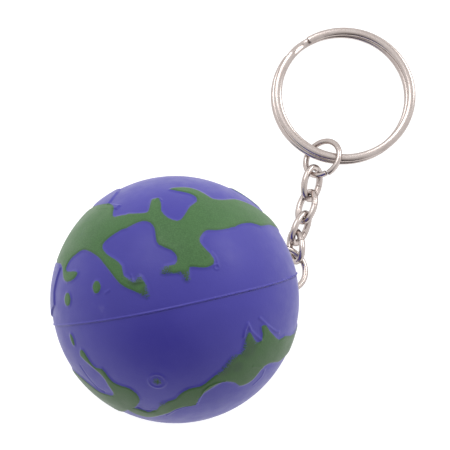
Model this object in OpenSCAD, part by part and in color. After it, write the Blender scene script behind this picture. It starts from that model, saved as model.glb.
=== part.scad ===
// Globe stress ball on a key ring: a moulded foam ball with raised land, a pin
// anchored in it, and a chain of wire links that ends in a split key ring.
// Millimetres, +Z up. The ball rests on the plane z = 0 at the origin, and the
// chain lies away from it along +Y.

/* [Ball] */
// Diameter of the ball, without the raised land
ball_d = 42; // [41:0.25:43]
// Thickness of the dense blue skin over the foam
skin_t = 1.2; // [0.8:0.1:1.8]
// How far the land stands proud of the sea
land_h = 0.35; // [0.2:0.05:0.6]
// How far the flash along the parting line stands proud
flash_h = 0.2; // [0.1:0.05:0.4]
// Width of the flash at its root
flash_w = 0.3; // [0.2:0.05:0.5]

/* [Pin and anchor] */
// Wire of the eye pin
pin_wire = 1; // [0.8:0.1:1.2]
// Radius of the eye, to the middle of its wire
eye_r = 1.7; // [1.6:0.05:1.9]
// Depth of the anchor disc below the ball's surface
anchor_depth = 8; // [6:0.5:11]
// Diameter of the anchor disc
anchor_d = 9; // [7:0.5:11]
// Thickness of the anchor disc
anchor_t = 1.6; // [1.2:0.1:2.4]

/* [Chain] */
// Wire of the chain links
link_wire = 1.1; // [0.9:0.02:1.12]
// Length of a link over its wire
link_l = 6.9; // [6.8:0.05:7]
// Width of a link over its wire
link_w = 4.7; // [4.6:0.05:4.9]
// Radius of the bowed legs of a link, to the middle of the wire
link_bow = 4.5; // [4.4:0.05:5]
// Wire of the two jump rings
jump_wire = 1; // [0.8:0.05:1.05]
// Diameter of the jump ring on the ball, over its wire
ball_ring_d = 8.9; // [8.85:0.05:9]
// Diameter of the jump ring on the key ring, over its wire
top_ring_d = 7.8; // [7.7:0.05:7.9]

/* [Key ring] */
// Diameter over the coils
key_ring_d = 25.3; // [25:0.1:25.6]
// Width of the coil wire, across the ring
coil_w = 1.45; // [1.2:0.05:1.6]
// Thickness of the coil wire, along the ring's axis
coil_t = 0.85; // [0.7:0.05:0.9]
// Angle of the step where the upper turn runs down to the lower one
step_angle = 20; // [16:1:30]

/* [Hidden] */

$fn = 64;
ball_r = ball_d / 2;
land_r = ball_r + land_h;
core_r = ball_r - skin_t;
clear = 0.02;
// How far a hole is cut past the piece it goes through.
past = 1;
// Height over the ball's middle, along its own axis, from which land is cut.
land_cut_from = ball_r / 4;
// Points that a rounded outline has between two of its corners.
curve_steps = 2;
// Corners of a small island before it is rounded.
islet_sides = 6;

// Degrees of the parting line left without flash where the pin comes out.
flash_trim = 8;

// Turn of the globe as it lies: its pole points along the chain, a little up.
globe_turn = [9.89, -72.88, -88.16];

// Longitude and latitude of the pin, close beside the parting line.
pin_lon = 137;
pin_lat = 0.69;

// Head of the pin, clenched under the anchor disc.
pin_head_d = 2 * pin_wire;
pin_head_t = anchor_t;
// Bare neck of the pin between the ball and the wire of its eye.
pin_neck = 0.3;

// The legs of a link are a hair thinner than its ends, and run a little way into them.
leg_wire = link_wire - 2 * clear;
leg_run_in = 2;

// Where each link's middle lies, counted from the ball.
link_at = [
    [20.89, 13.84, 3.03], [21.72, 17.21, 2.69], [22.83, 21.24, 2.29], [23.79, 25.66, 1.94],
];
// Heading of each link, turned from +Y towards -X.
link_heading = [8.6, -26.1, -11.7, -14.4];
// How steeply each link falls as it runs away from the ball.
link_rise = [-16.5, -8.5, -9.6, -0.7];
// Roll of each link about its own length: neighbours lean opposite ways.
link_roll = [-55, 60.9, -43.3, 46];

// The jump ring on the ball, hanging in the pin's eye.
ball_ring_at = [18.73, 9.43, 4.17];
ball_ring_turn = [-7.3, 17.7, 0];
// Where the butt gap of the ring starts, and how wide it is, in degrees.
ball_ring_gap = [200, 2];

// The key ring, its near side lifted by the wire of the jump ring under it.
key_ring_at = [29.48, 41.96, 1.49];
key_ring_turn = [-2.35, 0.85, 0];
// Angle where the lower turn leaves the step.
step_from = 122;
// How far the step runs into the turn at each of its ends, in degrees.
step_lap = 1.5;
// How far each turn of the key ring sits off its middle.
coil_shift = [0.25, 0.09];
// Corners of the coil wire's rounded section.
section_sides = 16;

// The jump ring on the key ring: over the coil on one side, under it on the other.
top_ring_at = [25.69, 30.05, 2.45];
top_ring_turn = [-1.7, -34.2, -20.1];
// Where the butt gap of the ring starts, and how wide it is, in degrees.
top_ring_gap = [-53, 6];

// A direction on the globe, from its longitude and latitude.
function globe_dir(p) = [cos(p[1]) * cos(p[0]), cos(p[1]) * sin(p[0]), sin(p[1])];

// One point of a smooth closed curve between p1 and p2.
function curve_point(p0, p1, p2, p3, t) =
    0.5 * (2 * p1 + (p2 - p0) * t
        + (2 * p0 - 5 * p1 + 4 * p2 - p3) * t * t
        + (3 * p1 - p0 - 3 * p2 + p3) * t * t * t);

// A closed outline, rounded through all its points with steps to each span.
function rounded(pts, steps = curve_steps) = [
    for (i = [0 : len(pts) - 1])
        for (k = [0 : steps - 1])
            curve_point(
                pts[(i + len(pts) - 1) % len(pts)], pts[i],
                pts[(i + 1) % len(pts)], pts[(i + 2) % len(pts)], k / steps)
];

// Puts its children in the globe's frame: X is longitude 0, Z is the pole.
module globe() {
    translate([0, 0, ball_r]) rotate(globe_turn) children();
}

// Puts its children on a longitude and latitude: X east, Y north, Z outwards.
module at_place(lon, lat) {
    rotate([0, 0, lon]) rotate([0, -lat, 0]) rotate([90, 0, 90]) children();
}

// A raised piece of land: an outline of [longitude, latitude] points, cut from
// a thin shell on the ball. The middle is the place that the cut faces.
module land(outline, middle) {
    east = [-sin(middle[0]), cos(middle[0]), 0];
    north = cross(globe_dir(middle), east);
    flat = [
        for (p = rounded(outline))
            land_r * [globe_dir(p) * east, globe_dir(p) * north]
    ];
    intersection() {
        at_place(middle[0], middle[1])
            translate([0, 0, land_cut_from]) linear_extrude(ball_r) polygon(flat);
        rotate([0, 0, middle[0] + 180]) difference() {
            sphere(land_r);
            sphere(ball_r);
        }
    }
}

/* ---- Outlines of the land, as [longitude, latitude] in degrees ---- */

north_west_outline = [
    [-19.4, 50.4], [-30.6, 50.5], [-33.3, 52.5], [-35, 55.5], [-37.5, 58.4], [-46.4, 60.6],
    [-59.5, 61], [-77, 59.9], [-95, 56], [-104, 47], [-104, 38], [-96, 31], [-85.4, 29],
    [-71.7, 28.9], [-65.9, 25.8], [-63.1, 21.9], [-58.4, 19.8], [-52.6, 20.8], [-49.7, 23.6],
    [-53.5, 24.7], [-59.3, 24.7], [-62.1, 26.7], [-59.1, 30.6], [-55.2, 32.5], [-49.4, 34.3],
    [-43.7, 33.3], [-37.1, 30.3], [-31.4, 25.4], [-26.7, 19.5], [-23.8, 15.7], [-20, 12.8],
    [-15.2, 9.8], [-11.4, 7], [-10.4, 9.8], [-11.4, 14.6], [-13.3, 17.5], [-16.2, 15.6],
    [-20.9, 18.5], [-21.8, 23.4], [-25.6, 27.2], [-30.4, 30.2], [-34.1, 34.1], [-33.1, 37],
    [-28.2, 39.8], [-23.4, 41.7], [-19.6, 43.6],
];

north_mid_outline = [
    [-23.1, 50.4], [-15.6, 50.3], [-8.2, 49.3], [-4.9, 50.1], [-3.4, 54.4], [-1.4, 57.8],
    [2.2, 58], [4.9, 57], [4.9, 52.2], [4, 48.3], [6.8, 43.5], [11.6, 40.6], [15.3, 41.6],
    [19.1, 44.5], [23.7, 47.4], [30.2, 49.4], [32.9, 52.4], [30.8, 56.2], [25.1, 59],
    [20.2, 61.9], [18.2, 63.3], [22.6, 63.9], [29.4, 63], [36.5, 61], [41.3, 57],
    [43.3, 50.6], [44.8, 40.9], [43.8, 34.4], [42.9, 31.3], [38, 30.3], [30.7, 31],
    [25, 32], [21.2, 30], [19.3, 27.1], [21.2, 22.3], [23.1, 18.4], [22.2, 15.6],
    [18.4, 14.6], [14.5, 15.5], [10.7, 16.5], [9.7, 13.6], [8.8, 10.7], [6.8, 11.7],
    [5.9, 14.6], [1.1, 15.6],
    [-2.7, 16.5], [-0.8, 19.4], [4, 19.4], [5.9, 22.3], [4, 26.1], [-1.7, 30], [-2.7, 33.8],
    [-2.6, 38.7], [-4.5, 42.5], [-9.2, 44.5], [-14.9, 43.6], [-23.4, 41.7],
];

north_east_outline = [
    [39, 58.3], [42.3, 52.5], [44.4, 48.7], [50.2, 46.8], [55.9, 46], [62.6, 45.1],
    [69.3, 42.4], [77, 37.8], [83.2, 33], [90, 29], [97, 26], [100, 23], [96, 21], [89, 23],
    [80.8, 24.9], [71.9, 26.7], [62.4, 27.5], [55.6, 30.3], [49.8, 30.9],
    [44.8, 30.7], [40.8, 30.4], [40.2, 34.2],
];

north_back_outline = [
    [87.8, 51], [93, 52], [102, 51], [109, 46], [112, 39], [108, 33], [100, 32], [95, 35],
    [89, 38], [91, 44],
];

south_west_outline = [
    [-54.6, -11.4], [-52.7, -13.3], [-51.6, -18.2], [-49.6, -21.1], [-45.8, -22],
    [-44.8, -25.9], [-43.7, -29.8], [-39.8, -32.6], [-36, -34.5], [-33.9, -38.4],
    [-35.6, -43.2], [-41.1, -46.2], [-46.4, -48.2], [-55.6, -49.4], [-72.2, -51.7], [-88, -50],
    [-98, -44], [-102, -36], [-97, -27], [-88, -22], [-78.3, -22.8], [-71.3, -26.4],
    [-66.5, -31.1], [-63.2, -34.9], [-57.5, -36.8], [-52.8, -37.7], [-50.1, -35.7],
    [-49.3, -31.8], [-48.5, -27.9], [-49.6, -24], [-53.5, -19.2], [-57.4, -14.3],
];

south_strip_outline = [
    [-52.9, -47.4], [-44.5, -49.2], [-40.4, -53], [-35.9, -52.9], [-30.4, -51.9],
    [-26.9, -49.9], [-23.3, -47.9], [-17.7, -46.9], [-12.1, -45.9], [-7.5, -43], [-1.8, -41.1],
    [4.7, -41.1], [9.5, -39.2], [14.2, -36.4], [20, -33.5], [25.7, -32.6], [27.5, -37.5],
    [24.5, -41.3], [19.8, -41.2], [14.1, -43.1], [9.4, -45], [5.6, -46.9], [2.8, -49.8],
    [0, -53.6], [-7.4, -53.6], [-16.5, -54.6], [-22.8, -56.6], [-29.9, -57.6], [-40.5, -58.7],
    [-50.4, -58.3], [-55.7, -54.5], [-56.6, -49.5],
];

south_east_outline = [
    [18.1, -34.5], [21, -31.6], [23.9, -28.7], [28.7, -27.8], [30.6, -24.9], [31.7, -20.1],
    [33.6, -18.2], [35.5, -20.2], [38.3, -24.1], [41.2, -24.1], [42.2, -21.2], [41.3, -17.3],
    [44.2, -17.3], [47, -20.3], [50.8, -23.3], [56.5, -26.3], [62.2, -25.4], [69.8, -26.5],
    [79.1, -25.9], [89, -23], [98, -23], [103, -28], [98, -34], [88, -36], [77, -37.8],
    [65.4, -39.2], [56, -38], [49.3, -38.8], [46.3, -41.7], [43.2, -45.5], [38.4, -47.3],
    [32.7, -47.2], [28.2, -44.2], [22.6, -42.2], [17, -40.3],
];

far_north_outline = [
    [128, 52], [138, 56], [150, 54], [158, 58], [172, 60], [186, 56], [196, 58], [206, 52],
    [212, 44], [206, 38], [198, 40], [192, 34], [196, 27], [190, 20], [182, 16], [178, 22],
    [180, 29], [172, 32], [164, 28], [160, 20], [152, 14], [147, 20], [150, 28], [142, 34],
    [134, 36], [130, 43],
];

far_south_outline = [
    [140, -40], [148, -36], [156, -38], [164, -44], [176, -46], [188, -44], [198, -38],
    [208, -30], [218, -28], [224, -34], [218, -42], [206, -48], [196, -54], [182, -58],
    [166, -58], [152, -54], [142, -48],
];

// Small islands, each [longitude, latitude, width, length], in degrees.
small_islands = [
    [-36.3, 15.7, 2.5, 3], [-57.5, 12, 3, 3.2], [-59.4, -6.5, 1.6, 3], [-18, -33.4, 2.2, 1.8],
    [118, 18, 4, 3], [214, 12, 4, 5], [150, -16, 5, 3], [232, -14, 3, 4],
];

/* ---- Ball ---- */

module foam_core() {
    color("#8c88bd") globe() difference() {
        sphere(core_r);
        at_place(pin_lon, pin_lat) {
            translate([0, 0, ball_r - anchor_depth - anchor_t])
                cylinder(d = anchor_d, h = anchor_t);
            translate([0, 0, ball_r - anchor_depth - anchor_t - pin_head_t])
                cylinder(d = pin_head_d, h = pin_head_t);
            translate([0, 0, ball_r - anchor_depth])
                cylinder(d = pin_wire, h = anchor_depth);
        }
    }
}

module ocean_skin() {
    color("#4b469b") globe() difference() {
        sphere(ball_r);
        sphere(core_r);
        at_place(pin_lon, pin_lat) cylinder(d = pin_wire, h = ball_d);
    }
}

// The flash along the parting line, trimmed away around the pin.
module seam_flash() {
    color("#443f92") globe()
        rotate([0, 0, pin_lon + flash_trim / 2]) rotate_extrude(angle = 360 - flash_trim)
            polygon([
                [ball_r - clear, -flash_w / 2], [ball_r + flash_h, 0],
                [ball_r - clear, flash_w / 2],
            ]);
}

module land_north_west() {
    color("#4b7a46") globe() land(north_west_outline, [-56, 38]);
}

module land_north_mid() {
    color("#4b7a46") globe() land(north_mid_outline, [12, 40]);
}

module land_north_east() {
    color("#4b7a46") globe() land(north_east_outline, [68, 38]);
}

module land_north_back() {
    color("#4b7a46") globe() land(north_back_outline, [99, 42]);
}

module land_south_west() {
    color("#4b7a46") globe() land(south_west_outline, [-68, -34]);
}

module land_south_strip() {
    color("#4b7a46") globe() land(south_strip_outline, [-18, -50]);
}

module land_south_east() {
    color("#4b7a46") globe() land(south_east_outline, [58, -34]);
}

module land_far_north() {
    color("#4b7a46") globe() land(far_north_outline, [170, 38]);
}

module land_far_south() {
    color("#4b7a46") globe() land(far_south_outline, [182, -44]);
}

module islets() {
    corner_step = 360 / islet_sides;
    color("#4b7a46") globe() for (i = small_islands) land(
        [
            for (k = [0 : islet_sides - 1])
                [i[0] + i[2] * cos(k * corner_step), i[1] + i[3] * sin(k * corner_step)]
        ],
        [i[0], i[1]]);
}

/* ---- Pin and anchor ---- */

module anchor_disc() {
    color("#d8d5cc") globe() at_place(pin_lon, pin_lat)
        translate([0, 0, ball_r - anchor_depth - anchor_t]) difference() {
            cylinder(d = anchor_d, h = anchor_t);
            translate([0, 0, -past]) cylinder(d = pin_wire, h = anchor_t + 2 * past);
        }
}

module eye_pin() {
    disc_floor = ball_r - anchor_depth - anchor_t;
    eye_middle = ball_r + pin_neck + pin_wire / 2 + eye_r;
    color("#c9c4bf") globe() at_place(pin_lon, pin_lat) {
        translate([0, 0, disc_floor - pin_head_t]) cylinder(d = pin_head_d, h = pin_head_t);
        translate([0, 0, disc_floor]) cylinder(d = pin_wire, h = eye_middle - eye_r - disc_floor);
        translate([0, 0, eye_middle]) rotate([90, 0, 0]) rotate_extrude()
            translate([eye_r, 0]) circle(d = pin_wire);
    }
}

/* ---- Chain ---- */

// A wire ring lying flat, with a butt gap: [where it starts, how wide it is].
module wire_ring(d, wire, gap) {
    rotate([0, 0, gap[0] + gap[1]]) rotate_extrude(angle = 360 - gap[1])
        translate([(d - wire) / 2, 0]) circle(d = wire);
}

// One oval link lying flat, its long way along Y: four arcs that run into each other.
module oval_link() {
    half_l = (link_l - link_wire) / 2;
    half_w = (link_w - link_wire) / 2;
    end_r = (pow(half_l, 2) + pow(half_w, 2) - 2 * link_bow * half_w) / (2 * (half_l - link_bow));
    leg_angle = atan2(half_l - end_r, link_bow - half_w);
    for (side = [0, 180]) rotate([0, 0, side]) {
        translate([0, half_l - end_r, 0]) rotate([0, 0, leg_angle])
            rotate_extrude(angle = 180 - 2 * leg_angle)
                translate([end_r, 0]) circle(d = link_wire);
        translate([half_w - link_bow, 0, 0]) rotate([0, 0, -leg_angle - leg_run_in])
            rotate_extrude(angle = 2 * (leg_angle + leg_run_in))
                translate([link_bow, 0]) circle(d = leg_wire);
    }
}

module chain_link(n) {
    color("#c9c4bf") translate(link_at[n]) rotate([link_rise[n], 0, link_heading[n]])
        rotate([0, link_roll[n], 0]) oval_link();
}

module chain_link_1() { chain_link(0); }
module chain_link_2() { chain_link(1); }
module chain_link_3() { chain_link(2); }
module chain_link_4() { chain_link(3); }

module ball_ring() {
    color("#c9c4bf") translate(ball_ring_at) rotate(ball_ring_turn)
        wire_ring(ball_ring_d, jump_wire, ball_ring_gap);
}

module top_ring() {
    color("#c9c4bf") translate(top_ring_at) rotate(top_ring_turn)
        wire_ring(top_ring_d, jump_wire, top_ring_gap);
}

/* ---- Key ring ---- */

// Cross-section of the coil wire, with rounded edges.
module coil_section() {
    corner_step = 360 / section_sides;
    polygon([
        for (k = [0 : section_sides - 1])
            [coil_w / 2 * cos(k * corner_step), coil_t / 2 * sin(k * corner_step)]
    ]);
}

// An arc of the coil, from one angle on, about the ring's axis.
module coil_arc(from, sweep) {
    rotate([0, 0, from]) rotate_extrude(angle = sweep)
        translate([(key_ring_d - coil_w) / 2, 0]) coil_section();
}

module split_ring() {
    pitch = coil_t + 2 * clear;
    slope = atan(pitch / ((key_ring_d - coil_w) * PI * step_angle / 360));
    color("#c9c4bf") translate(key_ring_at) rotate(key_ring_turn) {
        translate([coil_shift[0], coil_shift[1], pitch / 2])
            coil_arc(step_from + step_angle, 360 - step_angle);
        translate([-coil_shift[0], -coil_shift[1], -pitch / 2])
            coil_arc(step_from + step_angle, 360 - step_angle);
        rotate([0, 0, step_from + step_angle / 2]) rotate([slope, 0, 0])
            coil_arc(-step_angle / 2 - step_lap, step_angle + 2 * step_lap);
    }
}

foam_core();
ocean_skin();
seam_flash();
land_north_west();
land_north_mid();
land_north_east();
land_north_back();
land_south_west();
land_south_strip();
land_south_east();
land_far_north();
land_far_south();
islets();
anchor_disc();
eye_pin();
ball_ring();
chain_link_1();
chain_link_2();
chain_link_3();
chain_link_4();
top_ring();
split_ring();
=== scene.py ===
"""Looks of the globe stress ball on its key ring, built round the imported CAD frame. Metres, +Z up."""
import math

import bpy
import numpy as np
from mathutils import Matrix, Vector
from mathutils.bvhtree import BVHTree
from mathutils.kdtree import KDTree


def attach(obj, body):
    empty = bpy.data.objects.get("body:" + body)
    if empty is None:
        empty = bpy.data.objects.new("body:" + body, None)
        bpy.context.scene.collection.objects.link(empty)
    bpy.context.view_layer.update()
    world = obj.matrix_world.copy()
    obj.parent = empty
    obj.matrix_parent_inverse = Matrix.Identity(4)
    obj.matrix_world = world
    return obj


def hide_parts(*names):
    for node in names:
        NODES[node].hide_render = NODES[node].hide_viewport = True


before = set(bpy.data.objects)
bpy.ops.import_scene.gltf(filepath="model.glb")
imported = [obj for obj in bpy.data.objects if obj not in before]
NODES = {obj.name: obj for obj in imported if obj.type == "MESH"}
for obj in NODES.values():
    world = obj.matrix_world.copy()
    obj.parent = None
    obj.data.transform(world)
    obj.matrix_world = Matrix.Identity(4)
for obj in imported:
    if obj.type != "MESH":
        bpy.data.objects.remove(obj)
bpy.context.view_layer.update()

MM = 0.001

# ---- sizes shared with the CAD source, in millimetres and degrees ----
BALL_R = 21.0
LAND_H = 0.35
PIN_LON = 137.0
GLOBE_TURN = (9.89, -72.88, -88.16)
LINK_WIRE, LINK_L, LINK_W, LINK_BOW = 1.1, 6.9, 4.7, 4.5
LINK_AT = ((20.89, 13.84, 3.03), (21.72, 17.21, 2.69), (22.83, 21.24, 2.29), (23.79, 25.66, 1.94))
LINK_HEADING = (8.6, -26.1, -11.7, -14.4)
LINK_RISE = (-16.5, -8.5, -9.6, -0.7)
LINK_ROLL = (-55, 60.9, -43.3, 46)
JUMP_WIRE = 1.0
BALL_RING_D, BALL_RING_AT, BALL_RING_TURN = 8.9, (18.73, 9.43, 4.17), (-7.3, 17.7, 0)
TOP_RING_D, TOP_RING_AT, TOP_RING_TURN = 7.8, (25.69, 30.05, 2.45), (-1.7, -34.2, -20.1)
KEY_RING_D, KEY_RING_AT, KEY_RING_TURN = 25.3, (29.48, 41.96, 1.49), (-2.35, 0.85, 0.0)
COIL_W, COIL_T, COIL_PITCH = 1.45, 0.85, 0.89
COIL_SHIFT = (0.25, 0.09)
STEP_FROM, STEP_ANGLE = 122.0, 20.0

# ---- sizes of the looks alone, in millimetres ----
# Reach of the finely meshed band on each side of the parting line, and its rows from edge to edge.
SEAM_BAND, SEAM_ROWS = 0.6, 40
# Squares along one side of the cube that the ball's mesh is made from.
BALL_ROWS, BALL_ROWS_QUICK = 250, 150
# Gap where a link's wire ends meet.
LINK_GAP = 0.02
# How far a cut wire end is rounded off, as a share of the wire, and how much it shrinks there.
WIRE_BEVEL, LINK_BEVEL, COIL_BEVEL, END_SHRINK = 0.12, 0.03, 0.2, 0.16
# Corner sharpness of the key ring's wire: 2 is an ellipse, more is squarer.
COIL_SQUARENESS = 2.2

rng = np.random.default_rng(7)


def turn(angles):
    """Rotation matrix of OpenSCAD's rotate([x, y, z])."""
    x, y, z = (math.radians(a) for a in angles)
    rx = np.array([[1, 0, 0], [0, math.cos(x), -math.sin(x)], [0, math.sin(x), math.cos(x)]])
    ry = np.array([[math.cos(y), 0, math.sin(y)], [0, 1, 0], [-math.sin(y), 0, math.cos(y)]])
    rz = np.array([[math.cos(z), -math.sin(z), 0], [math.sin(z), math.cos(z), 0], [0, 0, 1]])
    return rz @ ry @ rx


def smooth(x, a, b):
    """0 below a, 1 above b, smooth between them."""
    t = np.clip((x - a) / (b - a), 0, 1)
    return t * t * (3 - 2 * t)


GLOBE = turn(GLOBE_TURN)
BALL_C = np.array([0, 0, BALL_R])


def place(lon, lat):
    """Unit vector of a longitude and latitude, in the globe's own frame."""
    lon, lat = np.radians(lon), np.radians(lat)
    return np.stack([np.cos(lat) * np.cos(lon), np.cos(lat) * np.sin(lon), np.sin(lat)], -1)


# ---------------------------------------------------------------- mesh making

def new_mesh(name, verts_mm, quads, ngons=(), attrs=None):
    """A mesh object from vertices in millimetres, quads and a few larger faces."""
    me = bpy.data.meshes.new(name)
    quads = np.asarray(quads, np.int32).reshape(-1, 4)
    sizes = [4] * len(quads) + [len(n) for n in ngons]
    loops = np.concatenate([quads.ravel()] + [np.asarray(n, np.int32) for n in ngons])
    starts = np.concatenate([[0], np.cumsum(sizes)[:-1]])
    me.vertices.add(len(verts_mm))
    me.vertices.foreach_set("co", (np.asarray(verts_mm, np.float64) * MM).ravel())
    me.loops.add(len(loops))
    me.loops.foreach_set("vertex_index", loops)
    me.polygons.add(len(sizes))
    me.polygons.foreach_set("loop_start", starts.astype(np.int32))
    me.polygons.foreach_set("loop_total", np.array(sizes, np.int32))
    me.polygons.foreach_set("use_smooth", np.ones(len(sizes), bool))
    for key, values in (attrs or {}).items():
        a = me.attributes.new(key, "FLOAT", "POINT")
        a.data.foreach_set("value", np.asarray(values, np.float32))
    me.update(calc_edges=True)
    me.validate()
    ob = bpy.data.objects.new(name, me)
    bpy.context.scene.collection.objects.link(ob)
    return ob


def sweep(name, path, side, up, section, taper):
    """Sweeps a section (N x 2: side, up) along an open path, with side, up and scale given at each point."""
    n, m = len(path), len(section)
    verts = (path[:, None] + taper[:, None, None] * (section[None, :, :1] * side[:, None]
             + section[None, :, 1:] * up[:, None])).reshape(-1, 3)
    i, j = np.meshgrid(np.arange(n - 1), np.arange(m), indexing="ij")
    i2, j2 = i + 1, (j + 1) % m
    quads = np.stack([i * m + j, i * m + j2, i2 * m + j2, i2 * m + j], -1).reshape(-1, 4)
    caps = [list(range(m))[::-1], [(n - 1) * m + k for k in range(m)]]
    return new_mesh(name, verts, quads, caps)


def end_taper(wire, path, bevel):
    """Scale along an open wire that rounds off the two cut ends."""
    seg = np.concatenate([[0], np.cumsum(np.linalg.norm(np.diff(path, axis=0), axis=1))])
    d = np.minimum(seg, seg[-1] - seg)
    t = np.clip(d / (bevel * wire), 0, 1)
    return 1 - END_SHRINK * (1 - np.sqrt(1 - (1 - t) ** 2))


def round_section(d, m=28):
    """Points round a circle of diameter d."""
    a = np.arange(m) / m * 2 * math.pi
    return np.stack([np.cos(a), np.sin(a)], -1) * d / 2


def end_rows(count, length, step_fine):
    """Parameters 0..1 with closely spaced rows at both ends."""
    body = np.linspace(0, 1, count)
    fine = np.array([0, 0.25, 0.5, 0.75, 1.0]) * step_fine / length
    middle = body[(body > fine[-1]) & (body < 1 - fine[-1])]
    return np.unique(np.concatenate([fine, middle, 1 - fine]))


def wire_ring(name, d, wire, at, turned, gap_at, gap, offset=0.0, spring=0.0):
    """A round wire ring with a butt gap. Its two ends stand a little off each other."""
    r = (d - wire) / 2
    length = math.radians(360 - gap) * r
    t = end_rows(168, length, WIRE_BEVEL * wire)
    a = np.radians(gap_at + gap + (360 - gap) * t)
    lift = offset * (smooth(t, 0.75, 1) - smooth(1 - t, 0.75, 1)) / 2
    rr = r - spring * (smooth(t, 0.8, 1))
    path = np.stack([rr * np.cos(a), rr * np.sin(a), lift], -1)
    side = np.stack([np.cos(a), np.sin(a), 0 * a], -1)
    up = np.tile([0, 0, 1.0], (len(a), 1))
    m = turn(turned)
    return sweep(name, path @ m.T + at, side @ m.T, up @ m.T, round_section(wire),
                 end_taper(wire, path, WIRE_BEVEL))


def oval_path(count=160):
    """Centreline of a link made of four arcs, from the butt joint in its right leg round to it again."""
    a, b, bow = (LINK_L - LINK_WIRE) / 2, (LINK_W - LINK_WIRE) / 2, LINK_BOW
    r = (a * a + b * b - 2 * bow * b) / (2 * (a - bow))
    leg = math.atan2(a - r, bow - b)
    arcs = [((b - bow, 0), bow, 0, leg), ((0, a - r), r, leg, math.pi - leg),
            ((bow - b, 0), bow, math.pi - leg, math.pi + leg),
            ((0, r - a), r, math.pi + leg, 2 * math.pi - leg), ((b - bow, 0), bow, -leg, 0)]
    lengths = np.array([rr * (t1 - t0) for _, rr, t0, t1 in arcs])
    ends = np.concatenate([[0], np.cumsum(lengths)])
    total = ends[-1]
    s = LINK_GAP / 2 + end_rows(count, total, WIRE_BEVEL * LINK_WIRE) * (total - LINK_GAP)
    pts, side = [], []
    for d in s:
        k = min(int(np.searchsorted(ends, d, side="right")) - 1, len(arcs) - 1)
        (cx, cy), rr, t0, _ = arcs[k]
        t = t0 + (d - ends[k]) / rr
        pts.append((cx + rr * math.cos(t), cy + rr * math.sin(t), 0.0))
        side.append((math.cos(t), math.sin(t), 0.0))
    return np.array(pts), np.array(side)


def chain_link(i):
    """One oval link, turned and put in its place."""
    path, side = oval_path()
    up = np.tile([0, 0, 1.0], (len(path), 1))
    m = turn((0, 0, LINK_HEADING[i])) @ turn((LINK_RISE[i], 0, 0)) @ turn((0, LINK_ROLL[i], 0))
    return sweep(f"link_{i + 1}", path @ m.T + LINK_AT[i], side @ m.T, up @ m.T,
                 round_section(LINK_WIRE), end_taper(LINK_WIRE, path, LINK_BEVEL))


def split_ring():
    """One flat-sided wire wound twice, with a step between its turns."""
    r = (KEY_RING_D - COIL_W) / 2
    sweep_deg = 2 * (360 - STEP_ANGLE) + STEP_ANGLE
    t = end_rows(720, math.radians(sweep_deg) * r, 0.3)
    deg = STEP_FROM + STEP_ANGLE + sweep_deg * t
    k = smooth(deg, STEP_FROM + 360, STEP_FROM + 360 + STEP_ANGLE)
    a = np.radians(deg)
    path = np.stack([r * np.cos(a) + COIL_SHIFT[0] * (2 * k - 1),
                     r * np.sin(a) + COIL_SHIFT[1] * (2 * k - 1), COIL_PITCH * (k - 0.5)], -1)
    side = np.stack([np.cos(a), np.sin(a), 0 * a], -1)
    up = np.tile([0, 0, 1.0], (len(a), 1))
    q = np.arange(64) / 64 * 2 * math.pi
    power = 2 / COIL_SQUARENESS
    c, s = np.cos(q), np.sin(q)
    section = np.stack([np.sign(c) * np.abs(c) ** power * COIL_W / 2,
                        np.sign(s) * np.abs(s) ** power * COIL_T / 2], -1)
    m = turn(KEY_RING_TURN)
    return sweep("key_coil", path @ m.T + KEY_RING_AT, side @ m.T, up @ m.T, section,
                 end_taper(COIL_W, path, COIL_BEVEL))


# ---------------------------------------------------------------- ball

def row_angles(n):
    """Face angles -45..45 degrees of the mesh rows, close together at the parting line."""
    fine = np.degrees(SEAM_BAND / BALL_R)
    dense = np.linspace(-fine, fine, SEAM_ROWS + 1)
    free = np.linspace(fine, 45, n // 2)[1:]
    return np.radians(np.concatenate([-free[::-1], dense, free]))


def cube_sphere(n):
    """Unit directions and quads of a sphere made from a cube with n squares to a side."""
    flat = np.tan(np.linspace(-math.pi / 4, math.pi / 4, n + 1))
    rows = np.tan(row_angles(n))
    pts, quads, count = [], [], 0
    for face in range(6):
        u, v = np.meshgrid(flat, flat if face > 3 else rows, indexing="ij")
        one = np.ones_like(u)
        sides = [(one, u, v), (-one, -u, v), (-u, one, v), (u, -one, v), (-v, u, one), (v, u, -one)]
        side = sides[face]
        pts.append(np.stack(side, -1).reshape(-1, 3))
        ni, nj = u.shape
        i, j = np.meshgrid(np.arange(ni - 1), np.arange(nj - 1), indexing="ij")
        base = (i * nj + j).ravel() + count
        quads.append(np.stack([base, base + nj, base + nj + 1, base + 1], -1))
        count += ni * nj
    pts = np.concatenate(pts)
    pts /= np.linalg.norm(pts, axis=1)[:, None]
    key = np.round(pts * 1e6).astype(np.int64)
    _, first, inverse = np.unique(key, axis=0, return_index=True, return_inverse=True)
    inverse = inverse.reshape(-1)
    return pts[first], inverse[np.concatenate(quads)]


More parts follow.
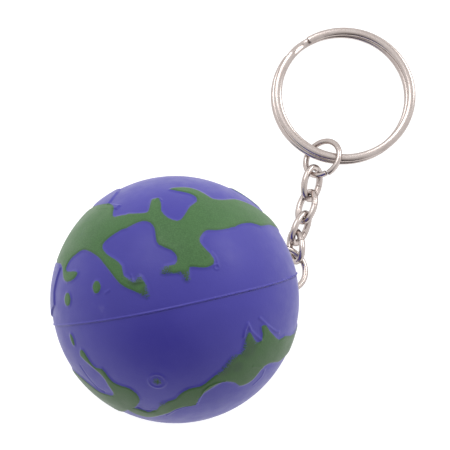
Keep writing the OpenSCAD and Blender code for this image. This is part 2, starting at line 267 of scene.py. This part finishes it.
def land_shapes():
    """Every land node's outer face as triangles, and points along the coasts, in the ball's frame."""
    coast = []
    tops = {}
    names = [n for n in sorted(NODES) if n.startswith("land_") or n == "islets"]
    for name in names:
        me = NODES[name].data
        co = np.empty(len(me.vertices) * 3)
        me.vertices.foreach_get("co", co)
        co = co.reshape(-1, 3) / MM - BALL_C
        key = np.round(co * 500).astype(np.int64)
        _, first, inv = np.unique(key, axis=0, return_index=True, return_inverse=True)
        inv = inv.reshape(-1)
        co = co[first]
        high = np.linalg.norm(co, axis=1) > BALL_R + 0.7 * LAND_H
        me.calc_loop_triangles()
        t = np.array([[inv[v] for v in lt.vertices] for lt in me.loop_triangles])
        t = t[high[t].all(axis=1)]
        edges = np.sort(np.concatenate([t[:, [0, 1]], t[:, [1, 2]], t[:, [2, 0]]]), axis=1)
        uniq, count = np.unique(edges, axis=0, return_counts=True)
        tops[name] = (co, t, uniq[count == 1])
    trees = {k: BVHTree.FromPolygons([Vector(p) for p in co], t.tolist())
             for k, (co, t, _) in tops.items()}
    for name, (co, t, rim) in tops.items():
        for a, b in rim:
            p, q = co[a], co[b]
            steps = max(2, int(np.linalg.norm(q - p) / 0.05))
            for s in np.arange(steps) / steps:
                d = p + (q - p) * s
                d = d / np.linalg.norm(d)
                inside = any(trees[k].ray_cast(Vector((0, 0, 0)), Vector(d))[0] is not None
                             for k in names if k != name and k != "islets")
                if not inside:
                    coast.append(d)
    return list(trees.values()), np.array(coast)


def line_distance(g, points):
    """Distance in millimetres of unit vectors from a line through [longitude, latitude] points."""
    pts = place(*np.array(points, float).T)
    best = np.full(len(g), 1e9)
    if len(pts) == 1:
        return np.linalg.norm(g - pts[0], axis=1) * BALL_R
    for p, q in zip(pts[:-1], pts[1:]):
        run = q - p
        t = np.clip((g - p) @ run / (run @ run), 0, 1)
        best = np.minimum(best, np.linalg.norm(g - p - t[:, None] * run, axis=1))
    return best * BALL_R


def patch_depth(g, points):
    """Signed distance in millimetres, positive inside a closed outline of [longitude, latitude]."""
    pts = place(*np.array(points, float).T)
    mid = pts.mean(axis=0)
    mid /= np.linalg.norm(mid)
    east = np.cross([0, 0, 1.0], mid)
    east /= np.linalg.norm(east)
    north = np.cross(mid, east)
    x, y = g @ east, g @ north
    px, py = pts @ east, pts @ north
    inside = np.zeros(len(g), bool)
    for i in range(len(pts)):
        x0, y0, x1, y1 = px[i], py[i], px[i - 1], py[i - 1]
        cross = (y0 > y) != (y1 > y)
        inside ^= cross & (x < (x1 - x0) * (y - y0) / (y1 - y0 + 1e-12) + x0)
    inside &= g @ mid > 0
    d = line_distance(g, list(points) + [points[0]])
    return np.where(inside, d, -d)


# Relief that the paint does not follow, as [longitude, latitude] on the globe.
BARE_LAND = [
    ([(-77, 58.9), (-93, 63), (-94, 67), (-95, 70), (-94, 73.5), (-72.2, 74.8), (-58, 71.5), (-51.5, 67.4),
      (-48.5, 63.9), (-47.7, 61.2), (-40.3, 59.8), (-30.6, 58), (-32.2, 55.7), (-44.2, 56.6), (-57.1, 57)],
      0.24),
    ([(-100, 8), (-106, 18), (-100, 28), (-85.4, 29), (-72.9, 28.4), (-69.6, 26.9), (-72.4, 21.2), (-74.3,
      15.7), (-73.7, 9.7), (-88, 4)], 0.26),
    ([(148, -2), (156, 4), (166, 2), (170, -5), (162, -10), (152, -9)], 0.2),
]
RIDGES = [
    ([(-48, 60.4), (-39.2, 59.8), (-30.6, 58)], 0.12, 0.13),
    ([(0.9, 55.6), (3.1, 57.6), (5.6, 57.5), (6.2, 55.6)], 0.12, 0.13),
    ([(20.6, -41.5), (15.4, -41.1), (10.4, -42.2), (6.8, -44.4), (4.3, -48.6), (2.3, -51.7)], 0.14, 0.15),
    ([(1.2, -53.6), (-7.3, -53.9), (-17.3, -55.7), (-29.3, -59.4)], 0.14, 0.15),
    ([(38.8, -36.7), (45.8, -38.3), (52, -41.4), (52.6, -45.6), (48.1, -49.7)], 0.07, 0.24),
    ([(30.7, -20), (31.7, -16.9), (33.3, -14.4), (34.9, -18), (38, -21.1), (41.5, -23.7)], 0.2, 0.26),
    ([(40.5, -13.3), (44.4, -16.7), (48.9, -19.9), (52.6, -21.9), (55.6, -22.8)], 0.14, 0.24),
    ([(19.6, 19.6), (23.3, 21.2), (24.5, 18.5), (24.3, 15.2)], 0.07, 0.2),
    ([(-17.4, 18.4), (-16.4, 14.6), (-12, 14.3)], 0.07, 0.18),
    ([(-63.2, -19.6), (-63.1, -26.4), (-62.2, -32.5), (-58.5, -35.3)], -0.1, 0.26),
    ([(-43.5, -47.9), (-41.4, -52), (-32.7, -52.8)], -0.09, 0.22),
    ([(-31.7, 12.4), (-29.4, 13.4)], 0.09, 0.22),
]
# Small raised rings: longitude, latitude, radius, height, half width of the rim.
RIMS = [
    (-17.9, -33.3, 1.42, 0.1, 0.24),
    (23.3, 14, 0.42, 0.1, 0.14),
]
# Where the sprayed paint is thin and speckled: longitude, latitude, reach.
FUZZY = [
    (-15.1, 16.7, 1.9),
    (-10.8, 8.4, 1.9),
    (-1.6, 16.9, 1.7),
    (6.4, 12.2, 1.9),
    (30.7, -17.7, 1.5),
    (33.5, -26.9, 2.4),
    (22.9, -28.7, 1.9),
    (27.6, -34.6, 1.6),
    (-23.3, -46.6, 1.6),
    (64.3, -22, 1.8),
    (79.1, -24.4, 1.8),
    (-17.9, -33.3, 1.2),
    (20, -33.5, 2.2),
]


def build_ball():
    """The relief ball: sea, land, bare ridges and the flash, with the values that its paint needs."""
    n = BALL_ROWS
    g, quads = cube_sphere(n)          # directions in the globe's frame
    d = g @ GLOBE.T                    # the same in the world, about the ball's middle
    trees, coast = land_shapes()
    kd = KDTree(len(coast))
    for i, c in enumerate(coast):
        kd.insert(c, i)
    kd.balance()
    dist = np.array([kd.find(v)[2] for v in d]) * BALL_R
    origin = Vector((0, 0, 0))
    inside = np.zeros(len(d), bool)
    for tree in trees:
        todo = np.nonzero(~inside)[0]
        inside[todo] = [tree.ray_cast(origin, Vector(v))[0] is not None for v in d[todo]]
    sdf = np.where(inside, dist, -dist)
    lon = np.degrees(np.arctan2(g[:, 1], g[:, 0]))

    relief = LAND_H * 0.6 * smooth(sdf, -0.5, 0.45)
    for points, height in BARE_LAND:
        relief = np.maximum(relief, height * smooth(patch_depth(g, points), -0.15, 0.2))
    for points, height, width in RIDGES:
        relief += height * np.exp(-(line_distance(g, points) / width) ** 2)
    for lo, la, radius, height, width in RIMS:
        r = line_distance(g, [(lo, la)])
        relief = relief * smooth(r, 0, radius) + height * np.exp(-((r - radius) / width) ** 2)
    fuzz = np.zeros(len(g))
    for lo, la, reach in FUZZY:
        fuzz = np.maximum(fuzz, 1 - smooth(line_distance(g, [(lo, la)]), 0.35 * reach, reach))

    # The flash where the two mould halves met: a lip north of the line and a nick south of it.
    off = g[:, 2] * BALL_R
    trim = smooth(np.abs((lon - PIN_LON + 180) % 360 - 180), 3.0, 6.0)
    rough = np.interp(lon, np.linspace(-180, 180, 1500), rng.normal(0, 1, 1500))
    torn = smooth(np.abs(lon - 60), 50, 40)
    lip = np.clip(0.14 + 0.05 * rough * torn, 0.03, 0.22)
    wave = 0.05 * np.sin(np.radians(lon) * 5) + 0.02 * rough * torn
    relief += (lip * np.exp(-((off - 0.17 - wave) / 0.15) ** 2) * trim
               - (0.045 + 0.06 * rough * torn) * np.exp(-((off + 0.06 - wave) / 0.1) ** 2) * trim
               + 0.03 * np.tanh(off / 0.1) * np.exp(-(off / 2.5) ** 2))
    verts = BALL_C + d * (BALL_R + relief)[:, None]
    return new_mesh("globe_ball", verts, quads,
                    attrs={"coast": sdf, "seam": off - wave, "fuzz": fuzz, "torn": torn * trim + (1 - trim)})


# ---------------------------------------------------------------- materials

def nodes_of(mat):
    mat.use_nodes = True
    nt = mat.node_tree
    bsdf = next(n for n in nt.nodes if n.type == "BSDF_PRINCIPLED")
    return nt, bsdf


def noise(nt, vector, scale, detail=4, rough=0.55):
    n = nt.nodes.new("ShaderNodeTexNoise")
    n.inputs["Scale"].default_value = scale
    n.inputs["Detail"].default_value = detail
    n.inputs["Roughness"].default_value = rough
    nt.links.new(vector, n.inputs["Vector"])
    return n.outputs["Fac"]


def math_node(nt, op, a, b=None, c=None):
    n = nt.nodes.new("ShaderNodeMath")
    n.operation = op
    for i, v in enumerate((a, b, c)):
        if v is None:
            continue
        if isinstance(v, (int, float)):
            n.inputs[i].default_value = v
        else:
            nt.links.new(v, n.inputs[i])
    return n.outputs[0]


def remap(nt, value, a, b, c=0.0, d=1.0):
    """Carries the range a..b smoothly over to c..d."""
    n = nt.nodes.new("ShaderNodeMapRange")
    n.interpolation_type = "SMOOTHSTEP"
    for i, v in enumerate((a, b, c, d)):
        n.inputs[i + 1].default_value = v
    nt.links.new(value, n.inputs[0])
    return n.outputs[0]


def mix(nt, fac, a, b):
    n = nt.nodes.new("ShaderNodeMix")
    n.data_type = "RGBA"
    nt.links.new(fac, n.inputs[0])
    for i, v in ((6, a), (7, b)):
        if isinstance(v, tuple):
            n.inputs[i].default_value = (*v, 1)
        else:
            nt.links.new(v, n.inputs[i])
    return n.outputs[2]


def bump(nt, height, strength, distance, normal=None):
    n = nt.nodes.new("ShaderNodeBump")
    n.inputs["Strength"].default_value = strength
    n.inputs["Distance"].default_value = distance
    nt.links.new(height, n.inputs["Height"])
    if normal is not None:
        nt.links.new(normal, n.inputs["Normal"])
    return n.outputs["Normal"]


def attribute(nt, name):
    n = nt.nodes.new("ShaderNodeAttribute")
    n.attribute_name = name
    return n.outputs["Fac"]


def srgb(r, g, b):
    """Linear colour from 0..255 sRGB."""
    return tuple(((c / 255) / 12.92 if c / 255 <= 0.04045 else ((c / 255 + 0.055) / 1.055) ** 2.4)
                 for c in (r, g, b))


def ball_material():
    mat = bpy.data.materials.new("painted_foam_skin")
    nt, bsdf = nodes_of(mat)
    pos = nt.nodes.new("ShaderNodeTexCoord").outputs["Object"]
    coast, seam, fuzz, torn = (attribute(nt, k) for k in ("coast", "seam", "fuzz", "torn"))
    grain = noise(nt, pos, 4200, 2, 0.6)
    fine = noise(nt, pos, 1500, 4)
    mid = noise(nt, pos, 420, 4)
    large = noise(nt, pos, 60, 4)

    # Paint: a soft sprayed edge, wider and speckled where the spray was thin.
    wander = math_node(nt, "MULTIPLY", math_node(nt, "SUBTRACT", mid, 0.5), 0.28)
    speck = math_node(nt, "MULTIPLY", math_node(nt, "SUBTRACT", grain, 0.5),
                      math_node(nt, "MULTIPLY_ADD", fuzz, 2.6, 0.12))
    edge = math_node(nt, "ADD", coast, math_node(nt, "ADD", wander, speck))
    edge = math_node(nt, "DIVIDE", edge, math_node(nt, "MULTIPLY_ADD", fuzz, 3.2, 1.0))
    paint = remap(nt, edge, -0.07, 0.12)
    blue = mix(nt, remap(nt, large, 0.3, 0.7), srgb(60, 55, 149), srgb(66, 61, 156))
    green = mix(nt, remap(nt, large, 0.3, 0.7), srgb(53, 93, 48), srgb(63, 105, 57))
    green = mix(nt, remap(nt, grain, 0.35, 0.75), green, srgb(70, 112, 62))
    rim = math_node(nt, "MULTIPLY", remap(nt, edge, 0.05, 0.6, 0.55, 0.0), paint)
    green = mix(nt, rim, green, srgb(48, 82, 48))
    # Painted shade: the green grows darker towards the south, the side of the ball turned away from the
    # lights.
    south_shade = remap(nt, seam, -16.0, 4.0, 0.75, 0.0)
    green = mix(nt, south_shade, green, srgb(47, 81, 40))
    thin = math_node(nt, "MULTIPLY", fuzz, remap(nt, grain, 0.35, 0.65, 0.2, 0.7))
    green = mix(nt, thin, green, srgb(44, 66, 50))
    color = mix(nt, paint, blue, green)

    # Painted shade in the nick along the parting line, broken up where the flash is torn.
    from_nick = math_node(nt, "ABSOLUTE", math_node(nt, "ADD", seam, 0.05))
    nick_shade = remap(nt, from_nick, 0.06, 0.22, 1.0, 0.0)
    gaps = remap(nt, noise(nt, pos, 1100, 2), 0.42, 0.56, 0.25, 1.0)
    broken = math_node(nt, "MAXIMUM", gaps, math_node(nt, "SUBTRACT", 1.0, torn))
    strength = math_node(nt, "MULTIPLY_ADD", torn, 0.3, 0.14)
    nick_shade = math_node(nt, "MULTIPLY", math_node(nt, "MULTIPLY", nick_shade, broken), strength)
    # Painted shade: the nick's mask darkens the colour to a deep blue.
    color = mix(nt, nick_shade, color, srgb(40, 34, 100))
    # Scuffs: faint paler rubs.
    rub = remap(nt, noise(nt, pos, 150, 6, 0.7), 0.62, 0.8, 0.0, 0.22)
    color = mix(nt, rub, color, srgb(112, 108, 168))
    nt.links.new(color, bsdf.inputs["Base Color"])
    bsdf.inputs["Specular IOR Level"].default_value = 0.36
    bsdf.inputs["Sheen Weight"].default_value = 0.1
    bsdf.inputs["Sheen Roughness"].default_value = 0.4
    rough = math_node(nt, "ADD", remap(nt, mid, 0.3, 0.7, 0.4, 0.5), math_node(nt, "MULTIPLY", paint, 0.05))
    nt.links.new(rough, bsdf.inputs["Roughness"])
    stipple = bump(nt, grain, 0.35, 0.00003, bump(nt, fine, 0.3, 0.00005, bump(nt, large, 0.25, 0.0003)))
    nt.links.new(stipple, bsdf.inputs["Normal"])
    return mat


def nickel_material():
    mat = bpy.data.materials.new("nickel_plate")
    nt, bsdf = nodes_of(mat)
    pos = nt.nodes.new("ShaderNodeTexCoord").outputs["Object"]
    stain = noise(nt, pos, 420, 5)
    scratch = noise(nt, pos, 5200, 3)
    color = mix(nt, remap(nt, stain, 0.35, 0.7), srgb(205, 194, 189), srgb(191, 179, 174))
    tarnish = remap(nt, noise(nt, pos, 900, 4), 0.62, 0.85, 0.0, 0.25)
    color = mix(nt, tarnish, color, srgb(146, 128, 120))
    nt.links.new(color, bsdf.inputs["Base Color"])
    bsdf.inputs["Metallic"].default_value = 1
    bsdf.inputs["Specular Tint"].default_value = (*srgb(72, 58, 54), 1)
    nt.links.new(remap(nt, stain, 0.3, 0.75, 0.2, 0.3), bsdf.inputs["Roughness"])
    nt.links.new(bump(nt, scratch, 0.02, 0.000002, bump(nt, stain, 0.03, 0.00001)), bsdf.inputs["Normal"])
    return mat


def plastic_material():
    mat = bpy.data.materials.new("anchor_plastic")
    nt, bsdf = nodes_of(mat)
    pos = nt.nodes.new("ShaderNodeTexCoord").outputs["Object"]
    cloud, grain = noise(nt, pos, 300, 4), noise(nt, pos, 2500, 3)
    color = mix(nt, remap(nt, cloud, 0.3, 0.7), srgb(222, 218, 208), srgb(206, 200, 188))
    nt.links.new(color, bsdf.inputs["Base Color"])
    nt.links.new(remap(nt, cloud, 0.3, 0.7, 0.4, 0.55), bsdf.inputs["Roughness"])
    nt.links.new(bump(nt, grain, 0.3, 0.00004), bsdf.inputs["Normal"])
    return mat


# ---------------------------------------------------------------- build

ball = build_ball()
ball.data.materials.append(ball_material())
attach(ball, "ball")
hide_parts("foam_core", "ocean_skin", "seam_flash",
            *[n for n in NODES if n.startswith("land_") or n == "islets"])

nickel = nickel_material()
# Where each jump ring's gap starts and how wide it is, in degrees; the top ring's ends stand a little apart.
ball_jump_ring = wire_ring("ball_jump_ring", BALL_RING_D, JUMP_WIRE, BALL_RING_AT, BALL_RING_TURN,
                           gap_at=200, gap=2)
links = [(chain_link(i), f"chain_link_{i + 1}") for i in range(len(LINK_AT))]
key_jump_ring = wire_ring("key_jump_ring", TOP_RING_D, JUMP_WIRE, TOP_RING_AT, TOP_RING_TURN,
                          gap_at=-52, gap=4, offset=0.15, spring=0.1)
metal = [(ball_jump_ring, "ball_ring"), *links, (key_jump_ring, "top_ring"), (split_ring(), "split_ring")]
for piece, node in metal:
    piece.data.materials.append(nickel)
    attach(piece, node)
    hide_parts(node)
for node, material in (("eye_pin", nickel), ("anchor_disc", plastic_material())):
    NODES[node].data.materials.clear()
    NODES[node].data.materials.append(material)

# ---------------------------------------------------------------- floor, light and camera

FLOOR_SIZE, FLOOR_DROP = 4.0, 0.0001
bpy.ops.mesh.primitive_plane_add(size=FLOOR_SIZE, location=(0, 0, -FLOOR_DROP))
floor = bpy.context.object
floor.name = "floor"
fmat = bpy.data.materials.new("floor_white")
nt, bsdf = nodes_of(fmat)
bsdf.inputs["Base Color"].default_value = (0.4, 0.4, 0.4, 1)
bsdf.inputs["Roughness"].default_value = 0.9
bsdf.inputs["Emission Color"].default_value = (1, 1, 1, 1)
bsdf.inputs["Emission Strength"].default_value = 0.86
floor.data.materials.append(fmat)

ELEVATION = 75.5
CAMERA_AT = Vector((8.407, -132.82, 585.11)) * MM
LENS = 272.9

world = bpy.data.worlds.new("tent")
bpy.context.scene.world = world
world.use_nodes = True
wn = world.node_tree
wn.nodes.clear()
out = wn.nodes.new("ShaderNodeOutputWorld")
bg = wn.nodes.new("ShaderNodeBackground")
wn.links.new(bg.outputs[0], out.inputs[0])
sky = wn.nodes.new("ShaderNodeTexCoord").outputs["Generated"]


def toward(direction):
    """Cosine between the sky's direction and a given one."""
    n = wn.nodes.new("ShaderNodeVectorMath")
    n.operation = "DOT_PRODUCT"
    n.inputs[1].default_value = Vector(direction).normalized()
    wn.links.new(sky, n.inputs[0])
    return n.outputs["Value"]


# A pale tent, dimmer at the front, with three darker patches for the metal to mirror.
tent = mix(wn, remap(wn, toward((0, 1, 0)), -0.9, 0.5), (0.86, 0.85, 0.86), (1.03, 1.03, 1.03))
for way, start, end, shade in (
        ((-0.2, -0.86, 0.47), 0.74, 0.90, (0.06, 0.045, 0.04)),
        ((0, -0.25, 0.97), 0.955, 0.985, (0.5, 0.48, 0.47)),
        ((0.45, 0.55, 0.70), 0.975, 0.99, (0.2, 0.16, 0.14))):
    tent = mix(wn, remap(wn, toward(way), start, end), tent, shade)
wn.links.new(tent, bg.inputs[0])
bg.inputs[1].default_value = 0.9


def area_light(name, at, target, size, power):
    light = bpy.data.lights.new(name, "AREA")
    light.shape = "DISK"
    light.size = size
    light.energy = power
    ob = bpy.data.objects.new(name, light)
    ob.location = at
    ob.rotation_euler = (Vector(target) - Vector(at)).to_track_quat("-Z", "Y").to_euler()
    bpy.context.scene.collection.objects.link(ob)


LIT_SPOT = (0.01, 0.02, 0.02)
area_light("key", (-0.25, 0.55, 0.75), LIT_SPOT, 0.5, 2.1)
area_light("fill", (0.60, 0.50, 0.46), LIT_SPOT, 0.45, 2.0)

cam = bpy.data.cameras.new("camera")
cam.sensor_width = 36
cam.lens = LENS
cam.clip_start = 0.01
cam_ob = bpy.data.objects.new("camera", cam)
cam_ob.location = CAMERA_AT
cam_ob.rotation_euler = (math.radians(90 - ELEVATION), 0, 0)
bpy.context.scene.collection.objects.link(cam_ob)
bpy.context.scene.camera = cam_ob
bpy.context.scene.view_settings.view_transform = "Standard"
